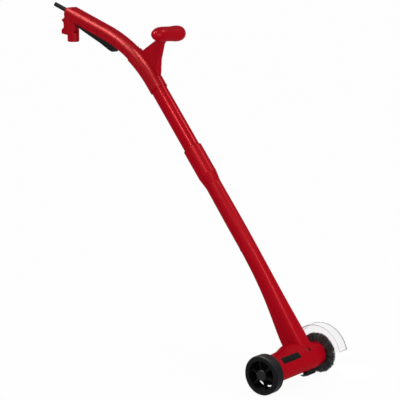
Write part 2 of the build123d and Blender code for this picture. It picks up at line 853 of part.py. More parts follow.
with BuildPart() as hub_cap:
    drum(hub_radius, hub_face - hub_cap_skirt - hub_cap_thickness, hub_face, height=wheel_radius)
    chamfer(hub_cap.edges().filter_by(GeomType.CIRCLE).sort_by(Axis.Y)[0], hub_cap_thickness / 2)
    drum(hub_radius - hub_cap_thickness, hub_face - hub_cap_skirt, hub_face, height=wheel_radius,
         mode=Mode.SUBTRACT)
save(hub_cap, "hub_cap")

# Spindle lock button under the barrel
lock_pin_tip = lock_collar_radius + button_travel + running_gap
button_tab = barrel_radius + button_travel + 2 * running_gap
with BuildPart() as lock_button:
    with BuildSketch(button_plane.offset(button_seat)):
        Rectangle(button_length, button_width)
    extrude(amount=button_reach - button_seat)
    with BuildSketch(button_side):
        with BuildLine():
            Polyline(
                [
                    (button_length / 2, button_tab),
                    (button_length / 2, button_reach),
                    (-button_length / 2 - button_overhang + button_slope, button_reach),
                    (-button_length / 2 - button_overhang, button_tab),
                ],
                close=True,
            )
        make_face()
    extrude(amount=button_width / 2, both=True)
    chamfer(lock_button.faces().sort_by(Axis.Z)[0].edges(), button_chamfer)
    with BuildSketch(button_plane.offset(button_foot)):
        Rectangle(button_length + 2 * button_flange, button_width + 2 * button_flange)
    extrude(amount=button_flange_thickness)
    rod(lock_pin_radius, button_plane.offset(lock_pin_tip), button_foot - lock_pin_tip)
save(lock_button, "lock_button")

# Middle tube
with BuildPart() as middle_tube:
    rod(tube_radius, socket_section(socket_depth), socket_depth + tube_exposed)
    rod(tube_radius - tube_wall, socket_section(socket_depth), socket_depth + tube_exposed, Mode.SUBTRACT)
save(middle_tube, "middle_tube")


def handle_wire(down, up):
    """Centre line of the handle, from a length below the bend to a length beyond its start."""
    turned = min(bend_turn, degrees(up / bend_radius))
    with BuildLine(Plane.XZ) as centre_line:
        if down > 0:
            Line(stepped(bend_start, shaft_down, down), bend_start)
        ThreePointArc(bend_point(0), bend_point(turned / 2), bend_point(turned))
        if up > bend_length:
            Line(bend_end, handle_point(up - bend_length))
    return centre_line.wires()[0]


# Rear grip, made whole and then parted into a left and a right shell
def side_plane(point, place):
    """Plane square to +Y at a point of the shaft plane."""
    return Plane(origin=(point[0], place, point[1]), x_dir=(1, 0, 0), z_dir=(0, 1, 0))


pin_centre = handle_point(trigger_pin_place, trigger_pin_depth)
slot_half = trigger_width / 2 + trigger_side_gap
stop_x, stop_top = handle_point(stop_place)
stop_foot = stop_top - stop_drop
hook_outline = [
    (stop_x, stop_top),
    (stop_x - hook_reach + 12.0, stop_top - 2.0),
    (stop_x - hook_reach + 9.0, stop_foot + 62.0),
    (stop_x - hook_reach, stop_foot + 57.0),
    (stop_x - hook_reach + 7.0, stop_foot + 50.0),
    (stop_x - hook_reach + 8.0, stop_foot + 38.0),
    (stop_x - hook_reach, stop_foot + 31.0),
    (stop_x - hook_reach, stop_foot + 21.0),
    (stop_x - stop_radius + 3.0, stop_foot + 17.0),
    (stop_x, stop_foot + 10.0),
]
grip_run = bend_length + grip_length
grip_slope = (grip_cut_end - grip_radius) / (grip_length - grip_cut_start)


def grip_end_piece(sink):
    """Wedge over the sloping top of the grip's rear end, sunk below that slope."""
    far = 2 * grip_length
    rise = grip_slope * (far - grip_cut_start)
    with BuildPart() as wedge:
        with BuildSketch(Plane.XZ):
            with BuildLine():
                Polyline(
                    [
                        handle_point(grip_cut_start, grip_radius - sink),
                        handle_point(far, grip_radius + rise - sink),
                        handle_point(far, 2 * grip_radius),
                        handle_point(grip_cut_start, 2 * grip_radius),
                    ],
                    close=True,
                )
            make_face()
        extrude(amount=2 * grip_radius, both=True)
    return wedge.part


with BuildPart() as grip_skin:
    with BuildSketch(section_plane(bend_start, shaft_heading)):
        Circle(grip_radius)
    sweep(path=handle_wire(0, grip_run))
    fillet(grip_skin.edges().filter_by(GeomType.CIRCLE).sort_by(Axis.X)[0], grip_end_round)

with BuildPart() as grip_end_lid:
    add(grip_skin.part)
    add(grip_end_piece(grip_end_wall), mode=Mode.INTERSECT)

with BuildPart() as grip_whole:
    add(grip_skin.part)
    rod(tube_radius - tube_wall - slide_fit,
        section_plane(stepped(bend_start, shaft_down, spigot_length), shaft_heading), spigot_length)
    rod(stop_radius, Plane(origin=(stop_x, 0, stop_foot)), stop_drop)
    chamfer(grip_whole.edges().filter_by(GeomType.CIRCLE).sort_by(Axis.Z)
            .filter_by_position(Axis.Z, stop_foot - 1, stop_foot + 1), stop_foot_chamfer)
    with BuildSketch(Plane.XZ) as hook_face:
        with BuildLine():
            Polyline(hook_outline, close=True)
        make_face()
    extrude(amount=hook_thickness / 2, both=True)
    with BuildSketch(section_plane(bend_start, shaft_heading)):
        Circle(grip_radius - grip_wall)
    sweep(path=handle_wire(0, grip_run - grip_end_wall), mode=Mode.SUBTRACT)
    add(grip_end_lid.part)
    add(grip_end_piece(0.0), mode=Mode.SUBTRACT)
    rod(tube_radius - tube_wall - slide_fit - spigot_wall,
        section_plane(stepped(bend_start, shaft_down, spigot_length), shaft_heading),
        spigot_length + 1.0, Mode.SUBTRACT)
    for along in grip_screw_places:
        centre = handle_point(along, grip_screw_depth)
        rod(grip_boss_radius, side_plane(centre, -grip_boss_half), 2 * grip_boss_half)
    rod(trigger_boss_radius, side_plane(pin_centre, -pin_boss_half), 2 * pin_boss_half)
    with BuildSketch(Plane.XZ):
        with BuildLine():
            Polyline(
                [
                    handle_point(trigger_front - slot_end_gap, slot_top),
                    handle_point(0, slot_top),
                    handle_point(trigger_rear + slot_end_gap, slot_top),
                    handle_point(trigger_rear + slot_end_gap, -2 * grip_radius),
                    handle_point(0, -2 * grip_radius),
                    handle_point(trigger_front - slot_end_gap, -2 * grip_radius),
                ],
                close=True,
            )
        make_face()
    extrude(amount=slot_half, both=True, mode=Mode.SUBTRACT)
    rod(trigger_pin_radius + slide_fit, side_plane(pin_centre, -pin_half), 2 * pin_half, Mode.SUBTRACT)
    for along in grip_screw_places:
        centre = handle_point(along, grip_screw_depth)
        rod(grip_screw_radius + slide_fit, side_plane(centre, -grip_screw_tip - 1.0), 3 * grip_radius,
            Mode.SUBTRACT)
        rod(grip_screw_head_radius + slide_fit, side_plane(centre, grip_screw_seat), grip_radius,
            Mode.SUBTRACT)
    rod(boot_radius + slide_fit,
        section_plane(handle_point(grip_length - 2 * grip_end_wall), grip_heading), 3 * grip_end_wall,
        Mode.SUBTRACT)

with BuildPart() as grip_left_shell:
    add(grip_whole.part)
    split(bisect_by=Plane.XZ, keep=Keep.BOTTOM)
save(grip_left_shell, "grip_left_shell")

with BuildPart() as grip_right_shell:
    add(grip_whole.part)
    split(bisect_by=Plane.XZ, keep=Keep.TOP)
save(grip_right_shell, "grip_right_shell")

with BuildPart() as grip_screws:
    for along in grip_screw_places:
        centre = handle_point(along, grip_screw_depth)
        rod(grip_screw_radius, side_plane(centre, -grip_screw_tip), grip_screw_tip + grip_screw_seat)
        rod(grip_screw_head_radius, side_plane(centre, grip_screw_seat), grip_screw_head)
save(grip_screws, "grip_screws")

with BuildPart() as cable_boot:
    rod(boot_collar_radius,
        section_plane(handle_point(grip_length - grip_end_wall - boot_collar_length), grip_heading),
        boot_collar_length)
    rod(boot_radius, section_plane(handle_point(grip_length - grip_end_wall), grip_heading),
        grip_end_wall + boot_length)
    rod(boot_bore,
        section_plane(handle_point(grip_length - grip_end_wall - boot_collar_length), grip_heading),
        boot_collar_length + grip_end_wall + boot_length, Mode.SUBTRACT)
save(cable_boot, "cable_boot")

# Trigger and the switch gear in the grip
trigger_outline = [
    handle_point(trigger_rear, trigger_pin_depth - 1.0),
    handle_point(trigger_rear - 1.0, -trigger_rear_depth),
    handle_point(60.0, -trigger_rear_depth - 4.0),
    handle_point(8.0, -trigger_front_depth + 4.0),
    handle_point(trigger_front + 16.0, -trigger_front_depth),
    handle_point(trigger_front + 3.0, -trigger_front_depth + 1.0),
    handle_point(trigger_front, -trigger_front_depth + 6.0),
    handle_point(trigger_front + 1.0, trigger_top),
    handle_point(0.0, trigger_top),
    handle_point(trigger_pin_place - 10.0, trigger_top + 2.0),
    handle_point(trigger_pin_place - 4.0, trigger_pin_depth + 4.5),
    handle_point(trigger_rear - 3.0, trigger_pin_depth + 4.5),
]
with BuildPart() as trigger:
    with BuildSketch(Plane.XZ):
        with BuildLine():
            Polyline(trigger_outline, close=True)
        make_face()
    extrude(amount=trigger_width / 2, both=True)
    rod(trigger_pin_radius + slide_fit, side_plane(pin_centre, -trigger_width), 2 * trigger_width,
        Mode.SUBTRACT)
    rod(spring_radius + 2 * running_gap, side_plane(pin_centre, -spring_width / 2 - running_gap),
        spring_width + 2 * running_gap, Mode.SUBTRACT)
save(trigger, "trigger")

with BuildPart() as trigger_pin:
    rod(trigger_pin_radius, side_plane(pin_centre, -pin_half), 2 * pin_half)
save(trigger_pin, "trigger_pin")

with BuildPart() as trigger_spring:
    rod(spring_radius, side_plane(pin_centre, -spring_width / 2), spring_width)
    rod(trigger_pin_radius + slide_fit, side_plane(pin_centre, -spring_width / 2), spring_width,
        Mode.SUBTRACT)
save(trigger_spring, "trigger_spring")

grip_bore = grip_radius - grip_wall
switch_half = (grip_bore ** 2 - switch_high ** 2) ** 0.5 - running_gap
with BuildPart() as switch_body:
    with BuildSketch(Plane.XZ):
        with BuildLine():
            Polyline(
                [
                    handle_point(switch_front, switch_low),
                    handle_point(switch_front, switch_high),
                    handle_point(switch_front + switch_length, switch_high),
                    handle_point(switch_front + switch_length, switch_low),
                ],
                close=True,
            )
        make_face()
    extrude(amount=switch_half - 1.0, both=True)
save(switch_body, "switch_body")

with BuildPart() as capacitor:
    rod(capacitor_radius,
        section_plane(handle_point(capacitor_place, grip_bore - capacitor_radius - running_gap),
                      grip_heading),
        capacitor_length)
save(capacitor, "capacitor")

# Support handle: a sleeve parted along the shaft into a saddle with the stem and bar, and a clamp
sleeve_bore = grip_radius + slide_fit
sleeve_foot = stepped(bend_start, shaft_down, sleeve_on_tube)
sleeve_turn = degrees(sleeve_on_bend / bend_radius)
bar_shoulder = bar_length / 2 - bar_end_round
bar_centre = (bend_start[0] + bar_ahead, bend_start[1] + bar_above)
stem_outline = [(bend_start[0] + ahead, bend_start[1] + above) for ahead, above in stem_profile]


def clamp_screw_plane(turned):
    """Plane under a clamp screw on the far side of the sleeve, facing square to the shaft."""
    x, z = stepped(bend_point(turned), heading(shaft_heading + turned + 90), clamp_screw_drop)
    dx, dz = heading(shaft_heading + turned - 90)
    return Plane(origin=(x, clamp_screw_side, z), x_dir=(0, 1, 0), z_dir=(dx, 0, dz))


clamp_screw_planes = [clamp_screw_plane(turned) for turned in (0.2 * sleeve_turn, 0.8 * sleeve_turn)]

with BuildPart() as sleeve:
    with BuildSketch(section_plane(sleeve_foot, shaft_heading)):
        Circle(sleeve_bore + sleeve_wall)
    sweep(path=handle_wire(sleeve_on_tube, sleeve_on_bend))
    for plane in clamp_screw_planes:
        rod(lug_radius, plane.offset(-support_screw_head - 1.0), lug_height)

with BuildPart() as sleeve_core:
    with BuildSketch(section_plane(sleeve_foot, shaft_heading)):
        Circle(sleeve_bore)
    sweep(path=handle_wire(sleeve_on_tube, sleeve_on_bend))

# Everything above the centre line of the shaft, which is where saddle and clamp part
with BuildPart() as saddle_side:
    with BuildSketch(Plane.XZ):
        with BuildLine():
            below = stepped(bend_start, shaft_down, sleeve_on_tube + parting_margin)
            beyond = bend_point(sleeve_turn + degrees(parting_margin / bend_radius))
            Line(below, bend_start)
            ThreePointArc(bend_start, bend_point(sleeve_turn / 2), beyond)
            top, ahead = bar_centre[1] + bar_length, bar_centre[0] + bar_length
            Line(beyond, (beyond[0], top))
            Line((beyond[0], top), (ahead, top))
            Line((ahead, top), (ahead, below[1]))
            Line((ahead, below[1]), below)
        make_face()
    extrude(amount=bar_length, both=True)

with BuildPart() as cross_bar:
    with BuildSketch(Plane(origin=(bar_centre[0], 0, bar_centre[1]), x_dir=(0, 1, 0), z_dir=(1, 0, 0))):
        with BuildLine():
            Line((-bar_length / 2, 0), (-bar_length / 2, bar_end_flat))
            Spline(
                (-bar_length / 2, bar_end_flat),
                (-bar_shoulder, bar_near_radius),
                (bar_middle, bar_radius),
                (bar_shoulder, bar_far_radius),
                (bar_length / 2, bar_end_flat),
            )
            Line((bar_length / 2, bar_end_flat), (bar_length / 2, 0))
            Line((bar_length / 2, 0), (-bar_length / 2, 0))
        make_face()
    revolve(axis=Axis((bar_centre[0], 0, bar_centre[1]), (0, 1, 0)))

with BuildPart() as stem:
    with BuildSketch(Plane.XZ):
        with BuildLine():
            Polyline(stem_outline, close=True)
        make_face()
    extrude(amount=stem_thickness / 2, both=True)
    fillet(stem.faces().filter_by(Axis.Y).edges(), stem_round)

with BuildPart() as support_saddle:
    add(sleeve.part)
    add(saddle_side.part, mode=Mode.INTERSECT)
    add(stem.part)
    add(sleeve_core.part, mode=Mode.SUBTRACT)
    for plane in clamp_screw_planes:
        rod(support_screw_radius + slide_fit, plane, support_screw_length + 1.0, Mode.SUBTRACT)
    add(cross_bar.part)
save(support_saddle, "support_saddle")

with BuildPart() as support_clamp:
    add(sleeve.part)
    add(saddle_side.part, mode=Mode.SUBTRACT)
    add(sleeve_core.part, mode=Mode.SUBTRACT)
    for plane in clamp_screw_planes:
        rod(support_screw_radius + slide_fit, plane, support_screw_length, Mode.SUBTRACT)
        rod(support_screw_head_radius + slide_fit, plane.offset(-sleeve_bore), sleeve_bore, Mode.SUBTRACT)
save(support_clamp, "support_clamp")

with BuildPart() as support_screws:
    for plane in clamp_screw_planes:
        rod(support_screw_radius, plane, support_screw_length)
        rod(support_screw_head_radius, plane.offset(-support_screw_head), support_screw_head)
save(support_screws, "support_screws")


# Inner lead from the switch down to the terminal block in the neck
terminal_top = terminal_place + terminal_length
mouth_rise = (mouth[0] * neck_up[0]) + (mouth[1] - spindle_height) * neck_up[1]
run_rate = shaft_down[0] * neck_up[0] + shaft_down[1] * neck_up[1]
lead_run = (terminal_top + running_gap - mouth_rise) / run_rate
lead_start = bend_turn + degrees(switch_front / bend_radius)

with BuildPart() as terminal_block:
    with BuildSketch(neck_section(terminal_place, neck_mid_bow)):
        Rectangle(terminal_width, terminal_depth)
    extrude(amount=terminal_length)
save(terminal_block, "terminal_block")

with BuildLine(Plane.XZ) as lead_line:
    ThreePointArc(bend_point(lead_start), bend_point(lead_start / 2), bend_point(0))
    Line(bend_start, stepped(mouth, shaft_down, lead_run))

with BuildPart() as inner_lead:
    with BuildSketch(section_plane(bend_point(lead_start), shaft_heading + lead_start + 180)):
        Circle(lead_radius)
    sweep(path=lead_line.wires()[0])
save(inner_lead, "inner_lead")
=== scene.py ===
import math
import bpy
import numpy as np
from mathutils import Matrix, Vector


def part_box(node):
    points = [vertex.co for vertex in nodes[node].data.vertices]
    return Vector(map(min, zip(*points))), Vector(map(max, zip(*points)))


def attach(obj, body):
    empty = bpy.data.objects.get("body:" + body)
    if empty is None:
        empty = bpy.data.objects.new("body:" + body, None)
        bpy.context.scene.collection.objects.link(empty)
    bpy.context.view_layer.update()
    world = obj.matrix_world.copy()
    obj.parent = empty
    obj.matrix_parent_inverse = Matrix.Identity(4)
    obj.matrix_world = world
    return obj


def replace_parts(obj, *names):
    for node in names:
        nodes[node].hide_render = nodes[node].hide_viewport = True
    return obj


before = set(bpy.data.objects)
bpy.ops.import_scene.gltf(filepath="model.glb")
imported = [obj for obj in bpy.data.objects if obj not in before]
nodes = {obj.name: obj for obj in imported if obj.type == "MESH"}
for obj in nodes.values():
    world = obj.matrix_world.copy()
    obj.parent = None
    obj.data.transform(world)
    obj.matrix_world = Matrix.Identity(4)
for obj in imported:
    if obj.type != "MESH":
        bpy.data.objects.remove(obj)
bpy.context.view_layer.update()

# Electric patio cleaner: +X forward, +Y from the shaft to the brush, +Z up, in metres
scene = bpy.context.scene
scene.view_settings.view_transform = "Standard"

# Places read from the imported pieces
brush_low, brush_high = np.array(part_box("brush_bristles"))
hub_low, hub_high = np.array(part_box("brush_hub"))
guard_low, guard_high = np.array(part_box("splash_guard"))
clamp_low = np.array(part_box("support_clamp"))[0]
boot_low = np.array(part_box("cable_boot"))[0]
rim_low, rim_high = np.array(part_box("wheel_rim"))
spindle_z = (brush_low[2] + brush_high[2]) / 2
brush_radius = (brush_high[2] - brush_low[2]) / 2
brush_hub_radius = (hub_high[2] - hub_low[2]) / 2
guard_radius = guard_high[2] - spindle_z
guard_end_angle = math.acos(guard_high[0] / guard_radius)
wheel_z = (rim_low[2] + rim_high[2]) / 2
rim_radius = (rim_high[2] - rim_low[2]) / 2

# Line of the handle in the plane of the shaft, as (x, z): straight tube, one bend, straight grip
bend_start = np.array([-0.460926, 0.683291])
shaft_heading, grip_heading = math.radians(127.5), math.radians(158.8)
bend_radius = 0.370
bend_length = bend_radius * (grip_heading - shaft_heading)
bend_centre = bend_start + bend_radius * np.array([-math.sin(shaft_heading), math.cos(shaft_heading)])
bend_end = bend_centre + bend_radius * np.array([math.sin(grip_heading), -math.cos(grip_heading)])
sleeve_on_tube, sleeve_on_bend = 0.021, 0.095

# Line of the neck, from the spindle up to the socket, and the way its front shell faces
neck_up = np.array([-0.57206, 0.0, 0.82021])
neck_front = np.array([neck_up[2], 0.0, -neck_up[0]])


def handle_line(along, side=0.0, above=0.0):
    """Points along the handle: c + R (sin t, -cos t) in the bend, and straight before and after it."""
    along = np.asarray(along, float)
    turned = grip_heading + np.clip(along, -bend_length, 0) / bend_radius
    before, after = np.minimum(along + bend_length, 0), np.maximum(along, 0)
    reach = bend_radius + above
    x = bend_centre[0] + reach * np.sin(turned)
    z = bend_centre[1] - reach * np.cos(turned)
    x = x + before * math.cos(shaft_heading) + after * math.cos(grip_heading)
    z = z + before * math.sin(shaft_heading) + after * math.sin(grip_heading)
    return np.stack([x, np.full_like(x, side), z], axis=-1)


# Shader groups, with the sockets of a colour mix by number and the widths of a parting line
mix_factor, mix_first, mix_second, mix_result = 0, 6, 7, 2
parting_core, parting_edge = 0.00012, 0.0004


def new_group(name, inputs, outputs):
    """Empty shader group with named sockets, given as (name, socket type, default)."""
    tree = bpy.data.node_groups.new(name, "ShaderNodeTree")
    for label, kind, value in inputs:
        socket = tree.interface.new_socket(label, in_out="INPUT", socket_type=kind)
        socket.default_value = value
    for label, kind in outputs:
        tree.interface.new_socket(label, in_out="OUTPUT", socket_type=kind)
    return tree, tree.nodes.new("NodeGroupInput"), tree.nodes.new("NodeGroupOutput")


def feed(tree, socket, value):
    """Set a socket to a number or a colour, or link another socket into it."""
    if isinstance(value, (int, float, tuple)):
        socket.default_value = value
    else:
        tree.links.new(value, socket)


def calc(tree, operation, first, second=0.0):
    """Math node on two numbers or sockets."""
    node = tree.nodes.new("ShaderNodeMath")
    node.operation = operation
    feed(tree, node.inputs[0], first)
    feed(tree, node.inputs[1], second)
    return node.outputs[0]


def noise(tree, place, scale, detail):
    """Noise texture in a tree, on a place socket."""
    node = tree.nodes.new("ShaderNodeTexNoise")
    node.inputs["Detail"].default_value = detail
    feed(tree, node.inputs["Scale"], scale)
    tree.links.new(place, node.inputs["Vector"])
    return node.outputs["Fac"]


def spread(tree, value, low, high, start=0.0, end=1.0, soft=False):
    """Value from start..end mapped to low..high, where any of them may be sockets."""
    node = tree.nodes.new("ShaderNodeMapRange")
    node.interpolation_type = "SMOOTHSTEP" if soft else "LINEAR"
    wanted = {"Value": value, "From Min": start, "From Max": end, "To Min": low, "To Max": high}
    for label, given in wanted.items():
        feed(tree, node.inputs[label], given)
    return node.outputs["Result"]


def mixed(tree, factor, first, second):
    """Colour between two colours or colour sockets."""
    node = tree.nodes.new("ShaderNodeMix")
    node.data_type = "RGBA"
    feed(tree, node.inputs[mix_factor], factor)
    feed(tree, node.inputs[mix_first], first)
    feed(tree, node.inputs[mix_second], second)
    return node.outputs[mix_result]


def object_place(tree):
    """Socket of the piece's own coordinates."""
    return tree.nodes.new("ShaderNodeTexCoord").outputs["Object"]


def object_xyz(tree):
    """Sockets x, y and z of the piece's own coordinates."""
    parted = tree.nodes.new("ShaderNodeSeparateXYZ")
    tree.links.new(object_place(tree), parted.inputs[0])
    return parted.outputs


def make_moulded_skin():
    """Moulded finish: slow colour drift, gloss drift, and a fine skin for the bump."""
    tree, given, out = new_group(
        "moulded_skin",
        [("Colour", "NodeSocketColor", (0.5, 0.5, 0.5, 1)), ("Deep", "NodeSocketColor", (0.4, 0.4, 0.4, 1)),
         ("Gloss low", "NodeSocketFloat", 0.2), ("Gloss high", "NodeSocketFloat", 0.3),
         ("Skin scale", "NodeSocketFloat", 900.0)],
        [("Colour", "NodeSocketColor"), ("Roughness", "NodeSocketFloat"), ("Height", "NodeSocketFloat")],
    )
    place = object_place(tree)
    drift = noise(tree, place, scale=14.0, detail=2.0)
    gloss = noise(tree, place, scale=45.0, detail=3.0)
    skin = noise(tree, place, scale=given.outputs["Skin scale"], detail=2.0)
    shade = mixed(tree, drift, given.outputs["Colour"], given.outputs["Deep"])
    roughness = spread(tree, gloss, given.outputs["Gloss low"], given.outputs["Gloss high"])
    tree.links.new(shade, out.inputs["Colour"])
    tree.links.new(roughness, out.inputs["Roughness"])
    tree.links.new(skin, out.inputs["Height"])
    return tree


def make_grip_rings():
    """Masks of shallow rings round the grip, spaced along the handle's line, and of its parting line, which
    are sunk and darkened as painted shade.
    """
    tree, given, out = new_group(
        "grip_rings",
        [("First", "NodeSocketFloat", -0.079), ("Last", "NodeSocketFloat", 0.086),
         ("Pitch", "NodeSocketFloat", 0.033), ("Half width", "NodeSocketFloat", 0.0009)],
        [("Ring", "NodeSocketFloat"), ("Parting", "NodeSocketFloat")],
    )
    first, last, pitch, half_width = given.outputs[:4]
    x, y, z = object_xyz(tree)
    turned = calc(tree, "ARCTAN2", calc(tree, "SUBTRACT", z, bend_centre[1]),
                  calc(tree, "SUBTRACT", x, bend_centre[0]))
    in_bend = calc(tree, "MULTIPLY", calc(tree, "ADD", turned, math.pi / 2 - grip_heading), bend_radius)
    ahead = calc(tree, "MULTIPLY", calc(tree, "SUBTRACT", x, bend_end[0]), math.cos(grip_heading))
    upward = calc(tree, "MULTIPLY", calc(tree, "SUBTRACT", z, bend_end[1]), math.sin(grip_heading))
    along = calc(tree, "ADD", calc(tree, "MINIMUM", in_bend, 0.0),
                 calc(tree, "MAXIMUM", calc(tree, "ADD", ahead, upward), 0.0))
    half_pitch = calc(tree, "MULTIPLY", pitch, 0.5)
    off = calc(tree, "PINGPONG", calc(tree, "SUBTRACT", along, first), half_pitch)
    ring = spread(tree, off, 1.0, 0.0, 0.0, half_width, soft=True)
    begun = calc(tree, "GREATER_THAN", along, calc(tree, "SUBTRACT", first, half_pitch))
    going = calc(tree, "LESS_THAN", along, calc(tree, "ADD", last, half_pitch))
    ring = calc(tree, "MULTIPLY", ring, calc(tree, "MULTIPLY", begun, going))
    parting = spread(tree, calc(tree, "ABSOLUTE", y), 1.0, 0.0, parting_core, parting_edge, soft=True)
    tree.links.new(ring, out.inputs["Ring"])
    tree.links.new(parting, out.inputs["Parting"])
    return tree


def make_shell_line():
    """Mask of the head shells' parting line, from the distance to the plane that parts them; it is sunk and
    darkened as painted shade.
    """
    tree, _, out = new_group("shell_line", [], [("Parting", "NodeSocketFloat")])
    x, _, z = object_xyz(tree)
    ahead = calc(tree, "MULTIPLY", x, neck_front[0])
    upward = calc(tree, "MULTIPLY", calc(tree, "SUBTRACT", z, spindle_z), neck_front[2])
    off = calc(tree, "ABSOLUTE", calc(tree, "ADD", ahead, upward))
    parting = spread(tree, off, 1.0, 0.0, parting_core, parting_edge, soft=True)
    tree.links.new(parting, out.inputs["Parting"])
    return tree


def make_turned_lines():
    """Height of fine turning marks, from the distance to the spindle's line."""
    tree, given, out = new_group("turned_lines", [("Spacing", "NodeSocketFloat", 0.0006)],
                                 [("Height", "NodeSocketFloat")])
    spacing = given.outputs["Spacing"]
    x, _, z = object_xyz(tree)
    high = calc(tree, "SUBTRACT", z, spindle_z)
    square = calc(tree, "ADD", calc(tree, "MULTIPLY", x, x), calc(tree, "MULTIPLY", high, high))
    wave = calc(tree, "PINGPONG", calc(tree, "SQRT", square), spacing)
    tree.links.new(calc(tree, "DIVIDE", wave, spacing), out.inputs["Height"])
    return tree


moulded_skin = make_moulded_skin()
grip_rings = make_grip_rings()
shell_line = make_shell_line()
turned_lines = make_turned_lines()

# Finishes
# Sunk lines get painted shade: their colour is darkened by these shares, and their coat is thinned
painted_shade_cover, painted_shade_darkness, line_coat = 0.8, 0.25, 0.1
turning_depth = 0.05
relief_strength, relief_distance = 0.5, 0.0005


def new_finish(name):
    """Material with nodes, with its tree and its shader."""
    made = bpy.data.materials.new(name)
    made.use_nodes = True
    return made, made.node_tree, made.node_tree.nodes["Principled BSDF"]


def group_node(tree, group, **values):
    """Group node in a material, with numbers set on its sockets by name."""
    node = tree.nodes.new("ShaderNodeGroup")
    node.node_tree = group
    for label, value in values.items():
        node.inputs[label.replace("_", " ")].default_value = value
    return node


def skin_material(name, colour, deep, gloss, skin_scale, bump, metallic=0.0, specular=0.5, coat=0.0,
                  lines=None, turned=False):
    """Opaque finish on the moulded skin, with lines sunk and darkened as painted shade, or turning marks,
    where asked.
    """
    made, tree, shader = new_finish(name)
    skin = group_node(tree, moulded_skin, Colour=(*colour, 1), Deep=(*deep, 1), Gloss_low=gloss[0],
                      Gloss_high=gloss[1], Skin_scale=skin_scale)
    shade = skin.outputs["Colour"]
    height = calc(tree, "MULTIPLY", skin.outputs["Height"], bump)
    if lines:
        # Painted shade in the sunk lines: a dark copy of the deep colour is mixed in over their masks
        painted_shade_colour = (*(painted_shade_darkness * level for level in deep), 1)
        depth = 0.0
        for mask in group_node(tree, lines).outputs:
            shade = mixed(tree, calc(tree, "MULTIPLY", mask, painted_shade_cover), shade, painted_shade_colour)
            depth = calc(tree, "ADD", depth, mask)
        height = calc(tree, "SUBTRACT", height, depth)
        tree.links.new(spread(tree, depth, coat, line_coat * coat), shader.inputs["Coat Weight"])
    if turned:
        marks = group_node(tree, turned_lines).outputs["Height"]
        height = calc(tree, "ADD", height, calc(tree, "MULTIPLY", marks, turning_depth))
    relief = tree.nodes.new("ShaderNodeBump")
    relief.inputs["Strength"].default_value = relief_strength
    relief.inputs["Distance"].default_value = relief_distance
    tree.links.new(height, relief.inputs["Height"])
    tree.links.new(shade, shader.inputs["Base Color"])
    tree.links.new(skin.outputs["Roughness"], shader.inputs["Roughness"])
    tree.links.new(relief.outputs["Normal"], shader.inputs["Normal"])
    shader.inputs["Metallic"].default_value = metallic
    shader.inputs["Specular IOR Level"].default_value = specular
    shader.inputs["Coat Weight"].default_value = coat
    shader.inputs["Coat Roughness"].default_value = gloss[1]
    return made


red, deep_red = (0.322, 0.0005, 0.0068), (0.288, 0.0004, 0.0056)
black, deep_black = (0.0044, 0.0048, 0.0062), (0.0028, 0.0031, 0.0042)
gloss_coat, red_glint = 0.07, 0.028
satin_coat, satin_glint = 0.05, 0.042
red_moulding = skin_material(
    "red_moulding", red, deep_red, gloss=(0.24, 0.29), skin_scale=700.0, bump=0.012,
    metallic=red_glint, specular=0.0, coat=gloss_coat)
red_grip = skin_material(
    "red_grip_moulding", red, deep_red, gloss=(0.30, 0.35), skin_scale=700.0, bump=0.012,
    metallic=red_glint, specular=0.0, coat=gloss_coat, lines=grip_rings)
red_head = skin_material(
    "red_head_moulding", red, deep_red, gloss=(0.30, 0.35), skin_scale=700.0, bump=0.012,
    metallic=satin_glint, specular=0.0, coat=satin_coat, lines=shell_line)
red_paint = skin_material(
    "red_tube_paint", red, deep_red, gloss=(0.22, 0.27), skin_scale=300.0, bump=0.01,
    metallic=satin_glint, specular=0.0, coat=satin_coat)
seam_shadow = skin_material(
    "seam_shadow", colour=(0.055, 0.0006, 0.002), deep=(0.04, 0.0004, 0.0015), gloss=(0.5, 0.6),
    skin_scale=900.0, bump=0.05, specular=0.1)
black_moulding = skin_material(
    "black_moulding", black, deep_black, gloss=(0.36, 0.46), skin_scale=1400.0, bump=0.05, specular=0.06)
tread_rubber = skin_material(
    "tread_rubber", black, deep_black, gloss=(0.45, 0.58), skin_scale=1100.0, bump=0.1, specular=0.06)
boot_rubber = skin_material(
    "boot_rubber", black, deep_black, gloss=(0.5, 0.6), skin_scale=1100.0, bump=0.1, specular=0.03)
dark_moulding = skin_material(
    "dark_moulding", colour=(0.010, 0.010, 0.011), deep=(0.008, 0.008, 0.009), gloss=(0.42, 0.52),
    skin_scale=1600.0, bump=0.1, specular=0.10)
label_film = skin_material(
    "label_film", colour=(0.0042, 0.0045, 0.0056), deep=(0.0033, 0.0035, 0.0045), gloss=(0.3, 0.38),
    skin_scale=2000.0, bump=0.02, specular=0.03)
guard_edge_painted_shade = skin_material(
    "guard_edge_painted_shade", colour=(0.10, 0.10, 0.105), deep=(0.05, 0.05, 0.055), gloss=(0.2, 0.3),
    skin_scale=900.0, bump=0.02, specular=0.3)
turned_steel = skin_material(
    "turned_steel", colour=(0.58, 0.58, 0.60), deep=(0.48, 0.48, 0.50), gloss=(0.25, 0.38),
    skin_scale=2400.0, bump=0.1, metallic=1.0, turned=True)
dark_screw = skin_material(
    "dark_screw", colour=(0.045, 0.043, 0.043), deep=(0.03, 0.03, 0.03), gloss=(0.35, 0.48),
    skin_scale=2400.0, bump=0.1, metallic=1.0)
motor_iron = skin_material(
    "motor_iron", colour=(0.16, 0.16, 0.17), deep=(0.10, 0.10, 0.11), gloss=(0.4, 0.55),
    skin_scale=1800.0, bump=0.2, metallic=1.0)
copper_bars = skin_material(
    "copper_bars", colour=(0.72, 0.36, 0.18), deep=(0.62, 0.28, 0.13), gloss=(0.28, 0.4),
    skin_scale=2000.0, bump=0.1, metallic=1.0)


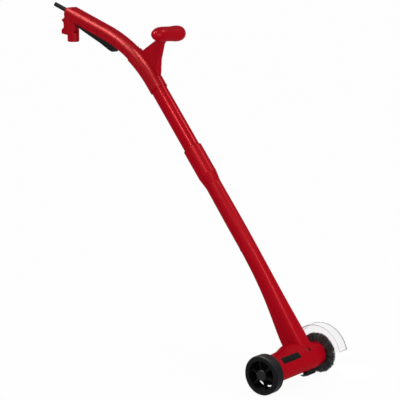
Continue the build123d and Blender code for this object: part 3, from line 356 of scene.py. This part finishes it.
def make_clear_plastic(ior=1.2):
    """Clear guard plastic: full transmission with a faint drift in its gloss."""
    made, tree, shader = new_finish("clear_plastic")
    skin = group_node(tree, moulded_skin, Colour=(0.93, 0.915, 0.92, 1), Deep=(0.89, 0.875, 0.88, 1),
                      Gloss_low=0.02, Gloss_high=0.06)
    tree.links.new(skin.outputs["Colour"], shader.inputs["Base Color"])
    tree.links.new(skin.outputs["Roughness"], shader.inputs["Roughness"])
    shader.inputs["Transmission Weight"].default_value = 1.0
    shader.inputs["IOR"].default_value = ior
    return made


def make_bristle_nylon(specular=0.2):
    """Filament finish: dark to grey by each filament's own shade, on the moulded skin."""
    made, tree, shader = new_finish("bristle_nylon")
    own = tree.nodes.new("ShaderNodeAttribute")
    own.attribute_name = "filament_shade"
    dark = group_node(tree, moulded_skin, Colour=(0.009, 0.010, 0.012, 1), Deep=(0.005, 0.006, 0.0075, 1),
                      Gloss_low=0.4, Gloss_high=0.5)
    pale = group_node(tree, moulded_skin, Colour=(0.105, 0.112, 0.122, 1), Deep=(0.066, 0.071, 0.078, 1))
    shade = mixed(tree, own.outputs["Fac"], dark.outputs["Colour"], pale.outputs["Colour"])
    tree.links.new(shade, shader.inputs["Base Color"])
    tree.links.new(dark.outputs["Roughness"], shader.inputs["Roughness"])
    shader.inputs["Specular IOR Level"].default_value = specular
    return made


clear_plastic = make_clear_plastic()
bristle_nylon = make_bristle_nylon()

# CAD pieces and their finishes
finishes = {
    red_head: ["head_front_shell", "head_rear_shell"],
    red_grip: ["grip_left_shell", "grip_right_shell"],
    red_moulding: ["nose_cap", "support_saddle", "support_clamp"],
    red_paint: ["middle_tube"],
    black_moulding: ["wheel_rim", "trigger", "lock_button", "brush_hub", "axle_plate"],
    tread_rubber: ["wheel_tyre"],
    boot_rubber: ["cable_boot", "inner_lead"],
    dark_moulding: [
        "hub_cap", "ring_gear", "planet_gear_1", "planet_gear_2", "planet_gear_3", "motor_end_bell",
        "switch_body", "capacitor", "terminal_block", "carbon_brushes"],
    label_film: ["label_plate"],
    clear_plastic: ["splash_guard"],
    dark_screw: ["head_screws", "grip_screws", "support_screws"],
    turned_steel: [
        "inner_spindle_bearing", "outer_spindle_bearing", "motor_can", "wheel_axle", "axle_washer",
        "trigger_pin", "trigger_spring", "spindle", "planet_carrier", "brush_clamp_disc", "brush_nut",
        "sun_gear"],
    motor_iron: ["motor_stator", "motor_rotor"],
    copper_bars: ["commutator"],
}


def dress(piece, finish):
    """Give a CAD piece its finish."""
    piece.data.materials.clear()
    piece.data.materials.append(finish)


for finish, names in finishes.items():
    for name in names:
        dress(nodes[name], finish)


# New surfaces
def surface(name, points, finish, body, ring=False, shade=None):
    """Piece from point grids of shape (copies, rows, columns, 3), each joined round its columns.

    A ring is joined round its rows too. Anything else is closed by a face over its first and last row.
    Where shades are given, one to a copy, they become the piece's filament_shade attribute."""
    copies, rows, columns, _ = points.shape
    first = (np.arange(copies) * rows * columns)[:, None, None]
    row, column = np.meshgrid(np.arange(rows if ring else rows - 1), np.arange(columns), indexing="ij")
    across, onward = (column + 1) % columns, (row + 1) % rows
    quads = np.stack([row * columns + column, row * columns + across,
                      onward * columns + across, onward * columns + column], axis=-1).reshape(-1, 4)
    faces = (first + quads).reshape(-1, 4).tolist()
    if not ring:
        ends = np.stack([np.arange(columns)[::-1], (rows - 1) * columns + np.arange(columns)])
        faces += (first + ends).reshape(-1, columns).tolist()
    mesh = bpy.data.meshes.new(name)
    mesh.from_pydata(points.reshape(-1, 3), [], faces)
    mesh.polygons.foreach_set("use_smooth", np.arange(len(faces)) < copies * len(quads))
    mesh.materials.append(finish)
    if shade is not None:
        own = mesh.attributes.new("filament_shade", "FLOAT", "POINT")
        own.data.foreach_set("value", np.repeat(shade, rows * columns).astype(np.float32))
    mesh.update()
    piece = bpy.data.objects.new(name, mesh)
    scene.collection.objects.link(piece)
    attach(piece, body)
    return piece


def tubes(paths, radii, sides, across=(0.0, 1.0, 0.0)):
    """Tubes C(s) + r(s) (cos a N + sin a B) on paths of shape (copies, steps, 3), N nearest to across."""
    along = np.gradient(paths, axis=1)
    along /= np.linalg.norm(along, axis=-1, keepdims=True)
    side = across - (along @ np.asarray(across))[..., None] * along
    side /= np.linalg.norm(side, axis=-1, keepdims=True)
    third = np.cross(along, side)
    turn = np.linspace(0, 2 * np.pi, sides, endpoint=False)
    ring = np.cos(turn)[:, None] * side[:, :, None] + np.sin(turn)[:, None] * third[:, :, None]
    return paths[:, :, None] + np.broadcast_to(radii, paths.shape[:2])[:, :, None, None] * ring


# Brush: angles in radians, frays as shares of its radius, and widths as shares of half its width
brush_seed = 11
tuft_count, filaments_per_tuft, filaments_per_wisp = 48, 64, 8
tuft_wander, root_spread, tip_wander, tip_spread = 0.008, 0.07, 0.016, 0.06
wave_angle, wave_count, splay_power = 0.010, 1.4, 0.8
tuft_fray, filament_fray = 0.03, 0.14
root_width, width_flare, width_wander = 0.7, 1.1, 0.12
root_sink, root_radius, tip_share = 0.001, 0.00034, 0.8


def brush_filaments(draw, steps=6):
    """Filament lines r(t), a(t), y(t): rooted in tufts at the hub, splayed and slightly wavy at the rim."""
    count = tuft_count * filaments_per_tuft
    grid = (tuft_count, filaments_per_tuft)
    tuft = np.repeat(np.arange(tuft_count), filaments_per_tuft)
    t = np.linspace(0, 1, steps)[None]
    centre = 2 * np.pi * tuft / tuft_count + draw.normal(0, tuft_wander, tuft_count)[tuft]
    root = centre + np.sort(draw.uniform(-root_spread, root_spread, grid), axis=1).ravel()
    lean = draw.normal(0, tip_wander, tuft_count)[tuft]
    tip = centre + lean + np.sort(draw.normal(0, tip_spread, grid), axis=1).ravel()
    wave = wave_angle * np.sin(2 * np.pi * (wave_count * t + draw.random((count, 1)))) * t
    angle = root[:, None] + (tip - root)[:, None] * t ** splay_power + wave
    worn = tuft_fray * draw.random(tuft_count)[tuft]
    rim = brush_radius * (1 - worn - filament_fray * draw.random(count) ** 2)
    foot = brush_hub_radius - root_sink
    reach = foot + (rim - foot)[:, None] * t
    middle, half = (brush_low[1] + brush_high[1]) / 2, (brush_high[1] - brush_low[1]) / 2
    base = draw.uniform(-root_width, root_width, count) * half
    end = base * width_flare + draw.normal(0, width_wander, count) * half
    place = middle + base[:, None] + (end - base)[:, None] * t
    return np.stack([reach * np.cos(angle), place, spindle_z + reach * np.sin(angle)], axis=-1)


seeded = np.random.default_rng(brush_seed)
filaments = brush_filaments(seeded)
wisp_shade = np.repeat(seeded.random(len(filaments) // filaments_per_wisp), filaments_per_wisp) ** 2
filament_radius = root_radius * np.linspace(1.0, tip_share, filaments.shape[1])
filament_skins = tubes(filaments, filament_radius, sides=4)
bristles = surface("brush_filaments", filament_skins, bristle_nylon, "spindle", shade=wisp_shade)
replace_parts(bristles, "brush_bristles")

# Edges of the clear guard, as grey lips whose colour is painted shade for the dark line of a clear edge
lip_radius, lip_sink, lip_inset = 0.0010, 0.0006, 0.0005
lip_end_swell, lip_end_power = 0.8, 40
end_lip_radius, end_lip_gap, end_lip_steps = 0.0005, 0.001, 8


def guard_lip(steps=64):
    """Arc (r cos a, y, r sin a) round the spindle along the far edge of the guard."""
    angle = np.linspace(guard_end_angle, np.pi - guard_end_angle, steps)
    reach = guard_radius - lip_sink
    edge = np.full(steps, guard_high[1] - lip_inset)
    return np.stack([reach * np.cos(angle), edge, spindle_z + reach * np.sin(angle)], axis=-1)[None]


lip = guard_lip()
lip_swell = lip_radius * (1 + lip_end_swell * np.abs(np.linspace(-1, 1, lip.shape[1])) ** lip_end_power)
surface("guard_lip", tubes(lip, lip_swell, sides=8), guard_edge_painted_shade, "body")
lip_tips = lip[0, [0, -1]]
end_lip_run = np.array([0.0, guard_low[1] - guard_high[1] + end_lip_gap, 0.0])
end_lip_lines = np.linspace(lip_tips, lip_tips + end_lip_run, end_lip_steps, axis=1)
end_lips = tubes(end_lip_lines, end_lip_radius, sides=8, across=(0.0, 0.0, 1.0))
surface("guard_end_lips", end_lips, guard_edge_painted_shade, "body")

# Seam between the support handle's saddle and clamp, as a thin bead in a dark painted-shadow finish
seam_radius, seam_steps = 0.00028, 40
sleeve_run = np.linspace(-bend_length - sleeve_on_tube, -bend_length + sleeve_on_bend, seam_steps)
seam = handle_line(sleeve_run, side=clamp_low[1])[None]
surface("sleeve_seam_shadow", tubes(seam, seam_radius, sides=6), seam_shadow, "body")

# Ribbed skin of the cable boot
boot_radius, boot_rib_height, boot_rib_pitch = 0.0057, 0.00025, 0.0046
boot_taper, boot_bore = 0.03, 0.0041
boot_length, boot_overhang = 0.0505, 0.0029


def boot_sleeve(start, end, steps=49, sides=20):
    """Rings of radius (R + h cos(2 pi s / pitch)) on the boot's line, slightly tapered, over a bore."""
    s = np.linspace(start, end, steps)
    ribbed = boot_radius + boot_rib_height * np.cos(2 * np.pi * (s - start) / boot_rib_pitch)
    ribbed = ribbed * np.linspace(1 + boot_taper, 1 - boot_taper, steps)
    reach = np.concatenate([[boot_bore], ribbed, [boot_bore]])[:, None, None]
    centre = handle_line(np.concatenate([[start], s, [end]]))[:, None]
    a = np.linspace(0, 2 * np.pi, sides, endpoint=False)[:, None]
    sideways = np.array([0.0, 1.0, 0.0])
    downward = np.array([-math.sin(grip_heading), 0.0, math.cos(grip_heading)])
    return (centre + reach * (np.cos(a) * sideways + np.sin(a) * downward))[None]


boot_end = (boot_low[0] - bend_end[0]) / math.cos(grip_heading) + boot_overhang
boot_skin = boot_sleeve(boot_end - boot_length, boot_end)
surface("boot_sleeve", boot_skin, boot_rubber, "body", ring=True)

# Lip inside the rear edge of the wheel's rim
rim_lip_inner, rim_lip_depth = 0.0318, 0.0015
rim_lip_gap, rim_lip_inset = 0.0010, 0.0002


def rim_lip(steps=72):
    """Four-cornered profile (r, y) carried round the axle."""
    a = np.linspace(0, 2 * np.pi, steps, endpoint=False)[:, None]
    outer, rear = rim_radius - rim_lip_gap, rim_high[1] - rim_lip_inset
    front = rear - rim_lip_depth
    reach = np.array([outer, outer, rim_lip_inner, rim_lip_inner])[None]
    place = np.array([front, rear, rear, front])[None]
    return np.stack([reach * np.cos(a), place + 0 * a, wheel_z + reach * np.sin(a)], axis=-1)[None]


surface("wheel_rear_lip", rim_lip(), black_moulding, "wheel", ring=True)

# Screw heads, with rings and the cross given as shares of a head's radius
head_rings = np.array([0.08, 0.24, 0.55, 0.86, 1.0, 1.0])
head_spokes, spokes_per_arm = 12, 3
cross_middle, cross_reach = 0.3, 0.6
head_dome, cross_depth, head_edge = 0.0009, 0.0007, 0.0001
off_axis = (0.31, 0.89, 0.33)
grip_screw_radius, head_screw_radius, front_screw_skirt = 0.0028, 0.0034, 0.0026
grip_screw_run, grip_screw_above, grip_screw_face = np.array([-0.095, 0.014, 0.125]), 0.013, 0.0103
front_screw_side, front_screw_rise, front_screw_face = -0.009, 0.0106, 0.0277
shell_screw_rises, shell_screw_side, shell_screw_face = (0.078, 0.300), 0.011, 0.0112


def screw_heads(centres, axes, radius, skirt=0.0):
    """Pan heads h(q, a): a dome over a skirt, with a cross sunk into it along four of its twelve spokes."""
    q = head_rings[:, None]
    below = np.zeros_like(q)
    below[-1] = skirt + head_edge
    a = np.linspace(0, 2 * np.pi, head_spokes, endpoint=False)[None]
    arm = (np.arange(head_spokes) % spokes_per_arm == 0)[None]
    sunk = (q < cross_middle) | ((q < cross_reach) & arm)
    height = head_dome * (1 - q ** 4) - cross_depth * sunk - below
    axes = axes / np.linalg.norm(axes, axis=-1, keepdims=True)
    side = np.cross(axes, off_axis)
    side /= np.linalg.norm(side, axis=-1, keepdims=True)
    third = np.cross(side, axes)
    flat = (q * np.cos(a))[..., None] * side[:, None, None]
    flat = flat + (q * np.sin(a))[..., None] * third[:, None, None]
    return centres[:, None, None] + radius * flat + height[..., None] * axes[:, None, None]


def on_neck(side, rise, face):
    """Point beside the neck's line, at a rise from the spindle and so far ahead of the parting plane."""
    return np.array([0.0, side, spindle_z]) + rise * neck_up + face * neck_front


grip_screws = handle_line(grip_screw_run, side=grip_screw_face, above=grip_screw_above)
grip_screw_axes = np.array([[0.0, 1.0, 0.0]] * len(grip_screws))
front_screw = on_neck(front_screw_side, front_screw_rise, front_screw_face)[None]
shell_screws = np.array([on_neck(side, rise, -shell_screw_face)
                         for rise in shell_screw_rises for side in (-shell_screw_side, shell_screw_side)])
shell_screw_axes = np.array([-neck_front] * len(shell_screws))
grip_heads = screw_heads(grip_screws, grip_screw_axes, grip_screw_radius)
front_head = screw_heads(front_screw, neck_front[None], head_screw_radius, skirt=front_screw_skirt)
shell_heads = screw_heads(shell_screws, shell_screw_axes, head_screw_radius)
surface("grip_screw_heads", grip_heads, dark_screw, "body")
surface("front_screw_head", front_head, dark_screw, "body")
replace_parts(surface("shell_screw_heads", shell_heads, dark_screw, "body"), "head_screws")

# Floor and world
floor_half, floor_shade, floor_roughness, floor_glow = 90.0, 0.85, 0.9, 0.94
sky_light, sky_seen = 0.93, 1.0


def seen_rays(tree):
    """1 for rays from the camera, off gloss or through clear plastic, and 0 for the light on the object."""
    ray = tree.nodes.new("ShaderNodeLightPath")
    direct = calc(tree, "MAXIMUM", ray.outputs["Is Camera Ray"], ray.outputs["Is Transmission Ray"])
    return calc(tree, "MAXIMUM", direct, ray.outputs["Is Glossy Ray"])


def make_pale_floor():
    """Pale floor that is white to the camera, in gloss and through clear plastic, with a soft shadow."""
    made, tree, shader = new_finish("pale_floor")
    shader.inputs["Base Color"].default_value = (floor_shade, floor_shade, floor_shade, 1)
    shader.inputs["Roughness"].default_value = floor_roughness
    shader.inputs["Specular IOR Level"].default_value = 0.0
    glow = tree.nodes.new("ShaderNodeEmission")
    blend = tree.nodes.new("ShaderNodeMixShader")
    tree.links.new(calc(tree, "MULTIPLY", seen_rays(tree), floor_glow), blend.inputs[0])
    tree.links.new(shader.outputs[0], blend.inputs[1])
    tree.links.new(glow.outputs[0], blend.inputs[2])
    tree.links.new(blend.outputs[0], tree.nodes["Material Output"].inputs["Surface"])
    return made


def make_floor(half):
    """Flat square floor sheet."""
    corners = [(-half, -half, 0), (half, -half, 0), (half, half, 0), (-half, half, 0)]
    sheet = bpy.data.meshes.new("floor")
    sheet.from_pydata(corners, [], [(0, 1, 2, 3)])
    sheet.materials.append(make_pale_floor())
    piece = bpy.data.objects.new("floor", sheet)
    scene.collection.objects.link(piece)


make_floor(floor_half)

world = bpy.data.worlds.new("studio")
scene.world = world
world.use_nodes = True
sky = world.node_tree
sky.nodes["Background"].inputs["Color"].default_value = (1, 1, 1, 1)
sky.links.new(spread(sky, seen_rays(sky), sky_light, sky_seen), sky.nodes["Background"].inputs["Strength"])

# Lamps: warm strips for the gloss alone, and plain fills for all the light
warm_light, plain_light = (1.0, 0.89, 0.74), (1.0, 1.0, 1.0)
tube_way = (math.cos(shaft_heading), 0.0, math.sin(shaft_heading))
grip_way = (math.cos(grip_heading), 0.0, math.sin(grip_heading))
tube_middle = (-0.40, 0.0, 0.605)
neck_middle = (-0.13, 0.0, 0.24)
sleeve_middle = (-0.487, 0.0, 0.713)
grip_middle = (-0.69, 0.0, 0.83)
machine_middle, head_middle = (-0.3, 0.0, 0.4), (0.0, -0.05, 0.1)
upright, spindle_way = (0, 0, 1), (0, 1, 0)


def standing(right, upward, backward, place):
    """Matrix of an object at a place that looks against its backward direction."""
    turn = np.eye(4)
    turn[:3, :3] = np.stack([right, upward, backward], axis=1)
    turn[:3, 3] = place
    return Matrix(turn.tolist())


def softbox(name, place, target, long_way, width, length, power, gloss_only=False):
    """Area light at a place that faces a target point, with its length along a direction."""
    lamp = bpy.data.lights.new(name, "AREA")
    lamp.shape = "RECTANGLE"
    lamp.size, lamp.size_y, lamp.energy = width, length, power
    lamp.color = warm_light if gloss_only else plain_light
    away = np.array(place, float) - np.array(target, float)
    away /= np.linalg.norm(away)
    upward = np.array(long_way, float) - away * np.dot(long_way, away)
    upward /= np.linalg.norm(upward)
    piece = bpy.data.objects.new(name, lamp)
    piece.matrix_world = standing(np.cross(upward, away), upward, away, place)
    piece.visible_diffuse = not gloss_only
    piece.visible_camera = not gloss_only
    scene.collection.objects.link(piece)


softbox("tube_strip", place=(-0.054, -0.631, 1.144), target=tube_middle, long_way=tube_way,
        width=0.09, length=0.26, power=11, gloss_only=True)
softbox("edge_strip", place=(0.79, 0.97, 2.19), target=tube_middle, long_way=tube_way,
        width=0.2, length=0.5, power=38, gloss_only=True)
softbox("neck_strip", place=(0.585, -0.258, 0.891), target=neck_middle, long_way=neck_up,
        width=0.065, length=0.2, power=11, gloss_only=True)
softbox("sleeve_strip", place=(-0.03, -0.86, 2.60), target=sleeve_middle, long_way=tube_way,
        width=0.6, length=0.4, power=95, gloss_only=True)
softbox("grip_strip", place=(-1.248, -1.316, 2.228), target=grip_middle, long_way=grip_way,
        width=0.8, length=0.7, power=225, gloss_only=True)
softbox("front_fill", place=(1.2, -3.2, 1.6), target=machine_middle, long_way=upright,
        width=2.4, length=2.4, power=13)
softbox("low_fill", place=(2.2, -0.3, 0.35), target=head_middle, long_way=spindle_way,
        width=0.8, length=1.2, power=16)

# The photograph's camera
camera_turn, camera_pitch = math.radians(38.344), math.radians(9.441)
camera_place = (1.7536, -2.6174, 0.9536)
camera_sensor, camera_lens = 36.0, 122.404
level_sight = np.array([-math.sin(camera_turn), math.cos(camera_turn), 0.0])
sight = math.cos(camera_pitch) * level_sight - math.sin(camera_pitch) * np.array(upright)
right = np.array([math.cos(camera_turn), math.sin(camera_turn), 0.0])
eye = bpy.data.cameras.new("photo_view")
eye.sensor_width, eye.lens = camera_sensor, camera_lens
camera = bpy.data.objects.new("photo_view", eye)
camera.matrix_world = standing(right, np.cross(right, sight), -sight, camera_place)
scene.collection.objects.link(camera)
scene.camera = camera
